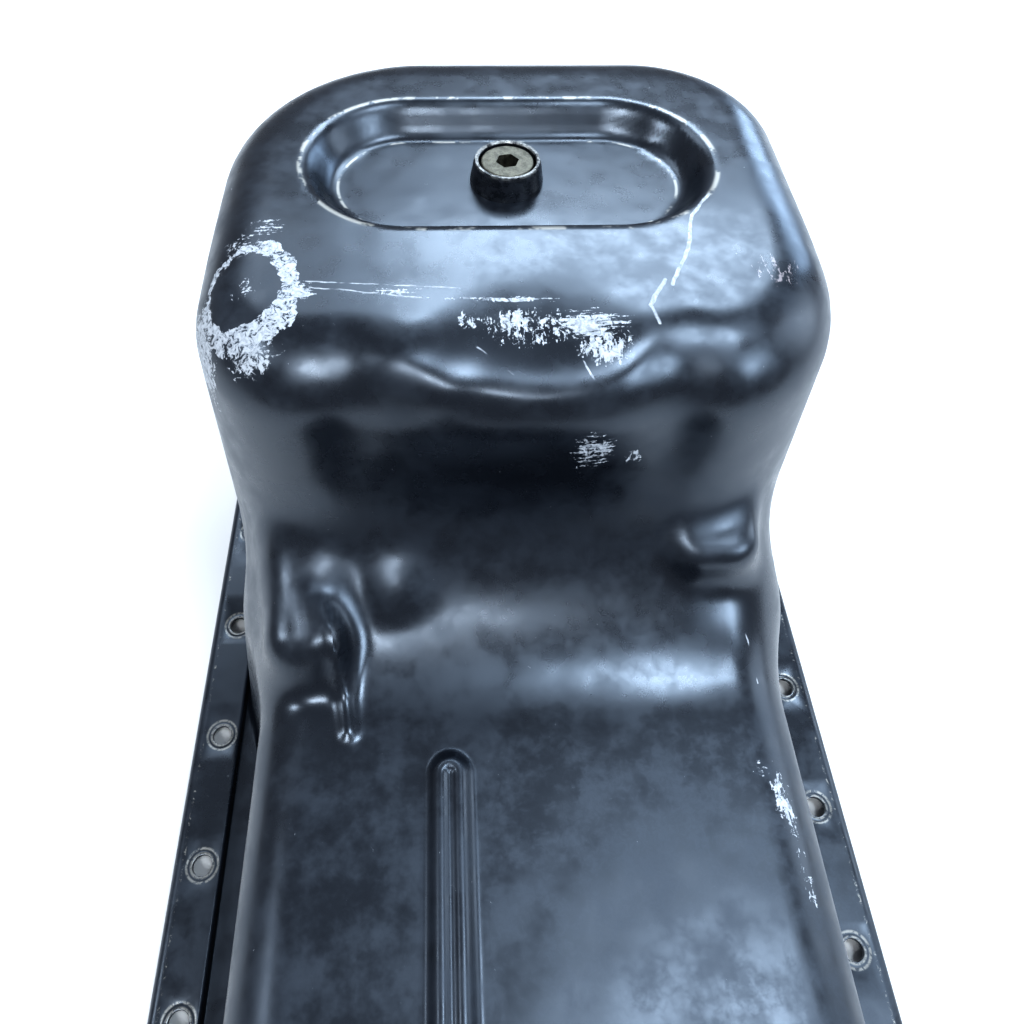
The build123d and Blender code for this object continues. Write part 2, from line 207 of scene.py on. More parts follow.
def rows(f, n_floor, n_fan, face_y, near, far, rb):
    """Base y and lean of each row of points, close together on the end walls."""
    fan = np.interp(np.linspace(0, 12, n_fan + 1)[:-1], np.arange(13), TARGET[1:14, 0])
    base = np.r_[np.linspace(-296, 0, n_floor + 1)[:-1], fan, face_y]
    ends = []
    for sign, (y_top, high, r, n, na) in ((-1, near), (1, far)):
        y0 = sign * (y_top - r)
        z = np.linspace(rb + FAN_Z + 6.0, high - r, n + 1)[:-1]
        wall = leave(f, lambda m: (0 * m - 2.0, y0 + sign * m, z + 0 * m), 0 * z, 0 * z + r + 70.0)
        a = np.linspace(0, math.pi / 2, na)
        arc = leave(f, lambda m: (0 * m - 2.0, y0 + sign * m * np.cos(a), high - r + m * np.sin(a)),
                    0 * a, 0 * a + 90.0)
        ends.append(np.r_[y0 + sign * wall, y0 + sign * arc * np.cos(a)])
    first, last = ends[0], ends[1][::-1]
    lean = np.interp(base, TARGET[:, 0], TARGET[:, 1]) - base
    rise = np.interp(base, TARGET[:, 0], TARGET[:, 2]) - FAN_Z
    n = np.hypot(lean, rise)
    b = np.r_[first, base, last]
    return b, np.r_[0 * first, lean / n, 0 * last], np.r_[0 * first + 1, rise / n, 0 * last + 1]


def row_points(f, b, dy, dz, rb, n_wall, n_arc, across, rho=24.0):
    """Points round each row: up one wall, over the top, and down the other."""
    b, dy, dz = b[:, None], dy[:, None], dz[:, None]
    o = np.zeros(b.shape)
    place = lambda r: (b + np.maximum(r, 0) * dy, FAN_Z + np.where(r > 0, r * dz, r))
    ray = lambda x, r, dx, dr, far: leave(f, lambda m: (x + m * dx, *place(r + m * dr)),
                                          0 * (x + r), 0 * (x + r) + far)
    up = lambda x: ray(x, o + rb, 0, 1, 330.0) + rb
    sides, walls = [], []
    for sign in (-1, 1):
        foot = ray(o, o + rb, sign, 0, 170.0)
        high = up(sign * np.maximum(foot - 40.0, 2.0))
        r = np.minimum(np.minimum(rho, 0.45 * np.maximum(high - rb, 2.0)), 0.3 * foot)
        rc = high - r
        xc = np.maximum(ray(o, rc, sign, 0, 170.0) - 1.1 * r, 1.0)
        rc = np.maximum(np.minimum(rc, up(sign * xc) - 0.8 * r), rb + 1.0)
        sides.append(xc)
        r = rb + (rc - rb) * np.linspace(0, 1, n_wall + 1)[:-1][None]
        wall = ray(sign * xc + 0 * r, r, sign, 0, 175.0)
        a = np.linspace(0, math.pi / 2, n_arc + 1)[None]
        arc = ray(sign * xc + 0 * a, rc + 0 * a, sign * np.cos(a), np.sin(a), 165.0)
        walls.append((np.c_[sign * (xc + wall), sign * (xc + arc * np.cos(a))],
                      np.c_[r, rc + arc * np.sin(a)]))
    k = (np.asarray(across)[None] + 90.0) / 180.0
    xt = -sides[0] * (1 - k) + sides[1] * k
    x = np.c_[walls[0][0], xt, walls[1][0][:, ::-1]]
    y, z = place(np.c_[walls[0][1], up(xt + 0 * o), walls[1][1][:, ::-1]])
    return np.stack([x, y, z], -1)


# ---- pan mesh ----
MM = 0.001
WEB_TOP, FOOT_R = 2.0, 3.5


def field(inner):
    off, web, r = (SHEET, 0.0, FOOT_R + SHEET) if inner else (0.0, WEB_TOP, FOOT_R)
    return (lambda x, y, z: skin(x, y, z) + off), (lambda x, y, z: either(skin(x, y, z) + off, z - web, r)), web, r


def drawn_mesh(inner, n_floor, n_fan, face_y, ends, n_wall, n_arc, across):
    """Grid of the drawn body, cut off above the web, with its foot bend down to the web."""
    f, g, web, r = field(inner)
    d = SHEET if inner else 0.0
    near = (328.0 - d, SHALLOW - d, 20.0 - d, ends[0], ends[1])
    far = (326.0 - d, DEPTH - d, 25.0 - d, ends[2], ends[3])
    b, dy, dz = rows(f, n_floor, n_fan, face_y, near, far, -8.0 - FAN_Z)
    p = row_points(f, b, dy, dz, -8.0 - FAN_Z, n_wall, n_arc, across)
    n, m, _ = p.shape
    idx = np.arange(n * m).reshape(n, m)
    quads = np.stack([idx[:-1, :-1], idx[1:, :-1], idx[1:, 1:], idx[:-1, 1:]], -1).reshape(-1, 4)
    me = bpy.data.meshes.new("grid")
    me.from_pydata(p.reshape(-1, 3).tolist(), [], quads.tolist())
    bm = bmesh.new()
    bm.from_mesh(me)
    bpy.data.meshes.remove(me)
    top = web + r + 0.4
    bmesh.ops.bisect_plane(bm, geom=bm.verts[:] + bm.edges[:] + bm.faces[:], dist=1e-4,
                           plane_co=(0, 0, top), plane_no=(0, 0, 1), clear_inner=True)
    bmesh.ops.remove_doubles(bm, verts=bm.verts[:], dist=0.02)
    # hole for the drain boss
    hole = [q for q in bm.faces if math.hypot(q.calc_center_median().x - PLUG_XY[0], q.calc_center_median().y - PLUG_XY[1]) < 12.6
            and q.calc_center_median().z > 200]
    bmesh.ops.delete(bm, geom=hole, context="FACES")
    # foot bend
    edge = [e for e in bm.edges if e.is_boundary and all(abs(v.co.z - top) < 0.01 for v in e.verts)]
    ring = []
    nxt = {}
    for e in edge:
        for v, w in (tuple(e.verts), tuple(e.verts)[::-1]):
            nxt.setdefault(v, []).append(w)
    v = edge[0].verts[0]
    prev = None
    while True:
        ring.append(v)
        w = [q for q in nxt[v] if q is not prev]
        prev, v = v, w[0]
        if v is ring[0]:
            break
    q = np.array([w.co[:] for w in ring])
    e = 0.2
    gx = f(q[:, 0] + e, q[:, 1], q[:, 2]) - f(q[:, 0] - e, q[:, 1], q[:, 2])
    gy = f(q[:, 0], q[:, 1] + e, q[:, 2]) - f(q[:, 0], q[:, 1] - e, q[:, 2])
    s = np.hypot(gx, gy)
    gx, gy = gx / s, gy / s
    last = ring
    for k in (20, 40, 60, 75, 90):
        z = web + r * (1 - math.sin(math.radians(k)))
        if k == 90:
            z = web
            reach = leave(g, lambda t: (q[:, 0] + t * gx, q[:, 1] + t * gy, z + 0.01 + 0 * t), 0 * s, 0 * s + 14.0)
        else:
            reach = leave(g, lambda t: (q[:, 0] + t * gx, q[:, 1] + t * gy, z + 0 * t), 0 * s, 0 * s + 14.0)
        new = [bm.verts.new((q[i, 0] + reach[i] * gx[i], q[i, 1] + reach[i] * gy[i], z)) for i in range(len(ring))]
        for i in range(len(ring)):
            j = (i + 1) % len(ring)
            bm.faces.new((last[i], last[j], new[j], new[i]))
        last = new
    bmesh.ops.recalc_face_normals(bm, faces=bm.faces[:])
    bm.faces.ensure_lookup_table()
    far_face = max(bm.faces, key=lambda t: t.calc_center_median().z)
    if (far_face.normal.z > 0) == inner:
        bmesh.ops.reverse_faces(bm, faces=bm.faces[:])
    return bm, [w.co[:] for w in last]


def outline(d, z):
    """Loop of the flange outline, d in from the lip."""
    r, pts = FL_R - d, []
    cx, cy = FL_X - FL_R, FL_Y - FL_R
    for sx, sy, a0 in ((1, 1, 0), (-1, 1, 90), (-1, -1, 180), (1, -1, 270)):
        for k in range(11):
            a = math.radians(a0 + 9.0 * k)
            pts.append((sx * cx + r * math.cos(a), sy * cy + r * math.sin(a), z))
    out = []
    for i, p in enumerate(pts):
        w = pts[(i + 1) % len(pts)]
        n = max(1, round(math.dist((p[0] / (abs(p[0]) or 1), p[1] / (abs(p[1]) or 1)), (p[0], p[1])) * 0 + (44 if abs(w[1] - p[1]) > 300 else 18 if abs(w[0] - p[0]) > 150 else 1)))
        out += [(p[0] + (w[0] - p[0]) * k / n, p[1] + (w[1] - p[1]) * k / n, z) for k in range(n)]
    return out


def flat(bm, z, loops, keep, up):
    """Plane region between loops of points, as triangles."""
    pts, edges = [], []
    for loop in loops:
        a = len(pts)
        pts += [Vector(p[:2]) for p in loop]
        edges += [(a + i, a + (i + 1) % len(loop)) for i in range(len(loop))]
    v, _, tri = delaunay_2d_cdt(pts, edges, [], 0, 1e-5)[:3]
    vs = [bm.verts.new((p.x, p.y, z)) for p in v]
    c = np.array([[(v[t[0]].x + v[t[1]].x + v[t[2]].x) / 3, (v[t[0]].y + v[t[1]].y + v[t[2]].y) / 3] for t in tri])
    ok = keep(c[:, 0], c[:, 1])
    for t, k in zip(tri, ok):
        if k:
            t = [vs[i] for i in t]
            area = (t[1].co - t[0].co).cross(t[2].co - t[0].co).z
            if abs(area) > 1e-9:
                bm.faces.new(t if (area > 0) == up else t[::-1])


def strip(bm, loops, flip=False):
    rings = [[bm.verts.new(p) for p in loop] for loop in loops]
    for a, b in zip(rings, rings[1:]):
        for i in range(len(a)):
            j = (i + 1) % len(a)
            q = (a[i], a[j], b[j], b[i])
            bm.faces.new(q[::-1] if flip else q)


def rounded_plan(x, y, d):
    qx, qy = np.abs(x) - FL_X + FL_R, np.abs(y) - FL_Y + FL_R
    return np.minimum(np.maximum(qx, qy), 0) + np.hypot(np.maximum(qx, 0), np.maximum(qy, 0)) - FL_R + d


HOLES = [(-FL_X + HOLE_IN, LEFT_Y0 + PITCH * i) for i in range(N_LEFT)]
HOLES += [(FL_X - HOLE_IN, RIGHT_Y0 + PITCH * i) for i in range(N_RIGHT)]
HOLES += [(x, s * (FL_Y - HOLE_IN)) for x in END_X for s in (-1, 1)]


def circle(x, y, z, r, n=28):
    return [(x + r * math.cos(2 * math.pi * k / n), y + r * math.sin(2 * math.pi * k / n), z) for k in range(n)]


def off_holes(x, y, r):
    h = np.array(HOLES)
    return (np.hypot(x[:, None] - h[None, :, 0], y[:, None] - h[None, :, 1]) > r).all(1)


def stitch(bm):
    """Give neighbouring strips the same points along the edges that they share, then close what is left."""
    for _ in range(2):
        bm.verts.index_update()
        edges = [e for e in bm.edges if e.is_boundary]
        pts = sorted({v for e in edges for v in e.verts}, key=lambda v: v.index)
        co = np.array([v.co[:] for v in pts])
        for e in edges:
            a, b = np.array(e.verts[0].co), np.array(e.verts[1].co)
            d = b - a
            size = np.linalg.norm(d)
            if size < 0.02:
                continue
            t = (co - a) @ d / size ** 2
            off = np.linalg.norm(co - a - t[:, None] * d, axis=1)
            start, t0 = e.verts[0], 0.0
            for tt, i in sorted((float(t[i]), i) for i in np.nonzero((t * size > 0.01) & ((1 - t) * size > 0.01) & (off < 0.16))[0]):
                if (tt - t0) * size < 0.01:
                    continue
                start = bmesh.utils.edge_split(e, start, (tt - t0) / (1 - t0))[1]
                start.co = co[i]
                t0 = tt
        bmesh.ops.remove_doubles(bm, verts=[v for v in bm.verts if v.is_boundary], dist=0.011)
    closed = bmesh.ops.holes_fill(bm, edges=[e for e in bm.edges if e.is_boundary], sides=0)["faces"]
    bmesh.ops.triangulate(bm, faces=closed)
    print("pan: closed", len(closed))


def pan():
    face_y = np.r_[np.linspace(189, 216, 16), np.linspace(221, 258, 9), np.linspace(263, 288, 15), 291, 297]
    across = np.r_[np.linspace(-87, -46, 26), np.linspace(-44.4, -20, 28), np.linspace(-18, 87, 62)]
    outer, foot = drawn_mesh(False, 34, 124, face_y, (8, 8, 14, 9), 20, 11, across)
    across = np.linspace(-84, 84, 40)
    inner, foot_in = drawn_mesh(True, 14, 50, face_y[::2], (4, 4, 6, 5), 9, 6, across)
    bm = bmesh.new()
    for part in (outer, inner):
        me = bpy.data.meshes.new("t")
        part.to_mesh(me)
        part.free()
        bm.from_mesh(me)
        bpy.data.meshes.remove(me)
    # wall of the boss hole
    near = lambda v: math.hypot(v.co.x - PLUG_XY[0], v.co.y - PLUG_XY[1]) < 20 and v.co.z > 200
    rim = [e for e in bm.edges if e.is_boundary and all(near(v) for v in e.verts)]
    bmesh.ops.bridge_loops(bm, edges=rim)
    # web, both sides
    d = RAIL_OUT + RAIL_W
    skin2 = lambda x, y: field(False)[1](x, y, 0 * x + WEB_TOP + 0.01)
    skin0 = lambda x, y: field(True)[1](x, y, 0 * x + 0.01)
    flat(bm, WEB_TOP, [outline(d + 0.8, 0), foot], lambda x, y: (rounded_plan(x, y, d + 0.8) < 0) & (skin2(x, y) > 0), True)
    flat(bm, 0.0, [outline(d - SHEET, 0), foot_in], lambda x, y: (rounded_plan(x, y, d - SHEET) < 0) & (skin0(x, y) > 0), False)
    # lip, rail and step
    arc = lambda cd, cz, r, a0, a1, n: [(cd + r * math.cos(math.radians(a)), cz + r * math.sin(math.radians(a))) for a in np.linspace(a0, a1, n)]
    up = [(0.0, 0.0), (0.0, 1.8)] + arc(LIP_R, RAIL_Z - LIP_R, LIP_R, 180, 90, 8) + [(LIP_R + 0.3, RAIL_Z)]
    strip(bm, [outline(a, z) for a, z in up])
    step_in = [(d - STEP_R - 0.25, RAIL_Z)] + arc(d - STEP_R, RAIL_Z - STEP_R, STEP_R, 90, 0, 6) + [(d, 4.5), (d, WEB_TOP + 0.8)] + [
        (d + 0.8 - 0.8 * math.cos(math.radians(a)), WEB_TOP + 0.8 - 0.8 * math.sin(math.radians(a))) for a in (30, 60, 90)]
    strip(bm, [outline(a, z) for a, z in step_in])
    under = [(0.0, 0.0), (SHEET, 0.0), (SHEET, RAIL_Z - LIP_R)] + arc(LIP_R, RAIL_Z - LIP_R, LIP_R - SHEET, 180, 90, 5)
    strip(bm, [outline(a, z) for a, z in under], True)
    strip(bm, [outline(a, z) for a, z in ((d - SHEET, RAIL_Z - SHEET), (d - SHEET, 3.0), (d - SHEET, 0.0))], True)
    a, b, seat = LIP_R + 0.3, d - STEP_R - 0.25, 7.5
    flat(bm, RAIL_Z, [outline(a, 0), outline(b, 0)] + [circle(x, y, 0, seat) for x, y in HOLES],
         lambda x, y: (rounded_plan(x, y, a) < 0) & (rounded_plan(x, y, b) > 0) & off_holes(x, y, seat - 0.02), True)
    a, b = LIP_R, d - SHEET
    flat(bm, RAIL_Z - SHEET, [outline(a, 0), outline(b, 0)] + [circle(x, y, 0, HOLE_R) for x, y in HOLES],
         lambda x, y: (rounded_plan(x, y, a) < 0) & (rounded_plan(x, y, b) > 0) & off_holes(x, y, HOLE_R - 0.02), False)
    for x, y in HOLES:
        strip(bm, [circle(x, y, z, r) for r, z in ((seat, RAIL_Z), (seat - 0.25, RAIL_Z - 0.12), (6.2, RAIL_Z - 0.16), (5.9, RAIL_Z - 0.05), (HOLE_R + 0.45, RAIL_Z - 0.05),
                                                   (HOLE_R + 0.1, RAIL_Z - 0.25), (HOLE_R, RAIL_Z - 0.6), (HOLE_R, RAIL_Z - SHEET))])
    bmesh.ops.remove_doubles(bm, verts=bm.verts[:], dist=0.004)
    stitch(bm)
    bmesh.ops.recalc_face_normals(bm, faces=bm.faces[:])
    open_edges = [e for e in bm.edges if not e.is_manifold]
    print("pan: faces", len(bm.faces), "tris", sum(len(q.verts) - 2 for q in bm.faces), "open edges", len(open_edges))
    for e in open_edges[:6]:
        print("  open", [tuple(round(c, 2) for c in v.co) for v in e.verts], len(e.link_faces))
    for v in bm.verts:
        v.co *= MM
    me = bpy.data.meshes.new("pan")
    bm.to_mesh(me)
    bm.free()
    me.shade_smooth()
    me.set_sharp_from_angle(angle=math.radians(35))
    ob = bpy.data.objects.new("pan", me)
    bpy.context.scene.collection.objects.link(ob)
    return ob


pan_ob = pan()
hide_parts("pan_body")
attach(pan_ob, "pan")


# ---- shader building ----
class Sock:
    """A shader value that can be added, multiplied and compared."""

    def __init__(self, nt, s):
        self.nt, self.s = nt, s

    def op(self, name, *others):
        n = self.nt.nodes.new("ShaderNodeMath")
        n.operation = name
        for i, o in enumerate((self,) + others):
            if isinstance(o, Sock):
                self.nt.links.new(o.s, n.inputs[i])
            else:
                n.inputs[i].default_value = o
        return Sock(self.nt, n.outputs[0])

    def __add__(self, o): return self.op("ADD", o)
    def __radd__(self, o): return self.op("ADD", o)
    def __sub__(self, o): return self.op("SUBTRACT", o)
    def __mul__(self, o): return self.op("MULTIPLY", o)
    def __rmul__(self, o): return self.op("MULTIPLY", o)
    def max(self, o): return self.op("MAXIMUM", o)
    def min(self, o): return self.op("MINIMUM", o)
    def abs(self): return self.op("ABSOLUTE")

    def ramp(self, a, b, c=0.0, d=1.0):
        """Smooth step from c at a to d at b."""
        n = self.nt.nodes.new("ShaderNodeMapRange")
        n.interpolation_type = "SMOOTHSTEP"
        self.nt.links.new(self.s, n.inputs[0])
        if a > b:
            a, b, c, d = b, a, d, c
        for i, v in zip((1, 2, 3, 4), (a, b, c, d)):
            n.inputs[i].default_value = v
        return Sock(self.nt, n.outputs[0])


class Mat:
    """A material whose position input is the object's own, in millimetres."""

    def __init__(self, name):
        self.m = bpy.data.materials.new(name)
        self.m.use_nodes = True
        self.nt = self.m.node_tree
        self.b = self.nt.nodes["Principled BSDF"]
        t = self.nt.nodes.new("ShaderNodeTexCoord")
        self.p = self.vec("SCALE", t.outputs["Object"], scale=1000.0)
        s = self.nt.nodes.new("ShaderNodeSeparateXYZ")
        self.nt.links.new(self.p, s.inputs[0])
        self.x, self.y, self.z = (Sock(self.nt, s.outputs[i]) for i in range(3))

    def vec(self, op, a, b=None, scale=None):
        n = self.nt.nodes.new("ShaderNodeVectorMath")
        n.operation = op
        for i, v in enumerate((a, b)):
            if v is None:
                continue
            if isinstance(v, (tuple, list)):
                n.inputs[i].default_value = v
            else:
                self.nt.links.new(v, n.inputs[i])
        if scale is not None:
            n.inputs["Scale"].default_value = scale
        return n.outputs["Value"] if op in ("LENGTH", "DOT_PRODUCT", "DISTANCE") else n.outputs["Vector"]

    def noise(self, size, detail=4.0, rough=0.55, stretch=(1, 1, 1), turn=0.0, at=None, distort=0.0, shift=(0, 0, 0)):
        """Noise from 0 to 1 about 0.5; size is the feature size in millimetres."""
        mp = self.nt.nodes.new("ShaderNodeMapping")
        mp.inputs["Rotation"].default_value = (0, 0, turn)
        mp.inputs["Location"].default_value = shift
        mp.inputs["Scale"].default_value = [1.0 / (size * s) for s in stretch]
        mp.vector_type = "TEXTURE" if False else "POINT"
        self.nt.links.new(at or self.p, mp.inputs[0])
        n = self.nt.nodes.new("ShaderNodeTexNoise")
        n.inputs["Scale"].default_value = 1.0
        n.inputs["Detail"].default_value = detail
        n.inputs["Roughness"].default_value = rough
        n.inputs["Distortion"].default_value = distort
        self.nt.links.new(mp.outputs[0], n.inputs["Vector"])
        return Sock(self.nt, n.outputs["Fac"])

    def blob(self, c, r, turn=0.0):
        """1 at the centre, 0 outside an ellipsoid of radii r; turn is about Z."""
        v = self.vec("SUBTRACT", self.p, tuple(c))
        if turn:
            n = self.nt.nodes.new("ShaderNodeVectorRotate")
            n.rotation_type = "Z_AXIS"
            n.inputs["Angle"].default_value = -turn
            self.nt.links.new(v, n.inputs[0])
            v = n.outputs[0]
        v = self.vec("MULTIPLY", v, tuple(1.0 / q for q in r))
        return Sock(self.nt, self.vec("LENGTH", v))

    def line(self, a, b, at):
        """Distance from the line between a and b."""
        a, b = np.array(a, float), np.array(b, float)
        d = b - a
        v = self.vec("SUBTRACT", at, tuple(a))
        h = Sock(self.nt, self.vec("DOT_PRODUCT", v, tuple(d / d.dot(d)))).max(0.0).min(1.0)
        n = self.nt.nodes.new("ShaderNodeVectorMath")
        n.operation = "SCALE"
        n.inputs[0].default_value = tuple(d)
        self.nt.links.new(h.s, n.inputs["Scale"])
        return Sock(self.nt, self.vec("LENGTH", self.vec("SUBTRACT", v, n.outputs[0])))

    def wobble(self, size, amount):
        """Position moved about by noise, so that marks get ragged edges."""
        n = self.nt.nodes.new("ShaderNodeTexNoise")
        n.inputs["Scale"].default_value = 1.0 / size
        n.inputs["Detail"].default_value = 2.0
        self.nt.links.new(self.p, n.inputs["Vector"])
        v = self.vec("SUBTRACT", n.outputs["Color"], (0.5, 0.5, 0.5))
        return self.vec("ADD", self.p, self.vec("SCALE", v, scale=2 * amount))

    def mix(self, f, a, b):
        n = self.nt.nodes.new("ShaderNodeMix")
        n.data_type = "RGBA"
        self.nt.links.new(f.s, n.inputs[0])
        for i, v in ((6, a), (7, b)):
            if isinstance(v, tuple):
                n.inputs[i].default_value = (*v, 1.0)
            else:
                self.nt.links.new(v, n.inputs[i])
        return n.outputs[2]

    def set(self, name, v):
        if isinstance(v, Sock):
            v = v.s
        if isinstance(v, (int, float, tuple)):
            self.b.inputs[name].default_value = v
        else:
            self.nt.links.new(v, self.b.inputs[name])

    def bump(self, h, distance, strength=1.0):
        n = self.nt.nodes.new("ShaderNodeBump")
        n.inputs["Strength"].default_value = strength
        n.inputs["Distance"].default_value = distance
        self.nt.links.new(h.s, n.inputs["Height"])
        self.nt.links.new(n.outputs[0], self.b.inputs["Normal"])


# Where the paint is scuffed: centre, radii, threshold of the grain, turn about Z.
SCUFFS = {
    "across": [((22, 147, 229), (27, 11, 12), 0.59, 0), ((21, 116, 199), (8, 9, 8), 0.625, 0), ((23, 116, 195), (18, 9, 24), 0.655, 0),
               ((-82, 162, 231), (12, 11, 9), 0.60, 0), ((-98, 195, 231), (18, 14, 12), 0.65, 0), ((86, 25, 114), (8, 8, 8), 0.66, 0),
               ((-8, 158, 231), (36, 3.5, 9), 0.60, 0), ((-50, 162, 232), (30, 4, 9), 0.665, 0)],
    "slant": [((2, 146, 229), (46, 19, 15), 0.672, 0), ((26, 138, 227), (20, 13, 12), 0.615, 0), ((-6, 150, 229), (10, 9, 9), 0.61, 0),
              ((-22, 149, 229), (10, 8, 9), 0.64, 0), ((40, 116, 188), (9, 9, 13), 0.645, 0), ((93, 14, 113), (8, 25, 8), 0.605, 0.1),
              ((95, -14, 113), (6, 15, 8), 0.64, 0.1), ((-101, 165, 228), (12, 15, 20), 0.69, 0)],
    "flake": [((-104, 164, 222), (27, 35, 36), 0.635, 0), ((-119, 152, 210), (11, 30, 30), 0.55, 0), ((-98, 139, 222), (20, 11, 16), 0.615, 0),
              ((-106, 186, 226), (13, 17, 16), 0.61, 0)],
    "pink": [((93, 172, 231), (24, 22, 14), 0.70, 0), ((84, 290, 231), (26, 24, 10), 0.735, 0), ((-95, 285, 231), (26, 28, 12), 0.735, 0)],
    "faint": [((-56, -4, 115), (13, 6, 4), 0.62, 0)],
}


def smooth(t):
    t = np.clip(t, 0.0, 1.0)
    return t * t * (3 - 2 * t)


def scuff_fields(me):
    """Slow fields for the paint, held on the mesh: how far each kind of wear has gone, and the film of dust."""
    p = np.empty(len(me.vertices) * 3)
    me.vertices.foreach_get("co", p)
    p = p.reshape(-1, 3) / MM
    out = {}
    for kind, marks in SCUFFS.items():
        v = np.full(len(p), -1.0)
        for c, r, lo, turn in marks:
            q = p - np.array(c, float)
            ca, sa = math.cos(turn), math.sin(turn)
            q = np.stack([q[:, 0] * ca + q[:, 1] * sa, -q[:, 0] * sa + q[:, 1] * ca, q[:, 2]], 1) / np.array(r, float)
            v = np.maximum(v, smooth((1 - np.linalg.norm(q, axis=1)) / 0.8) * 0.34 - 0.17 - lo)
        out[kind] = v
    near = np.linalg.norm((p - np.array([-110, 190, 210.0])) / np.array([40, 60, 60.0]), axis=1)
    low = smooth((150 - p[:, 2]) / 38)
    film = np.maximum(low * smooth((60 - p[:, 1]) / 40) * (0.25 + 0.75 * smooth((p[:, 0] + 60) / 90)), smooth((1 - near) / 0.6) * 0.5)
    for name, cols in (("wear", ("across", "slant", "flake")), ("film", ("pink", "faint", None))):
        at = me.attributes.new(name, "FLOAT_VECTOR", "POINT")
        at.data.foreach_set("vector", np.stack([film if k is None else out[k] for k in cols], 1).astype(np.float32).ravel())


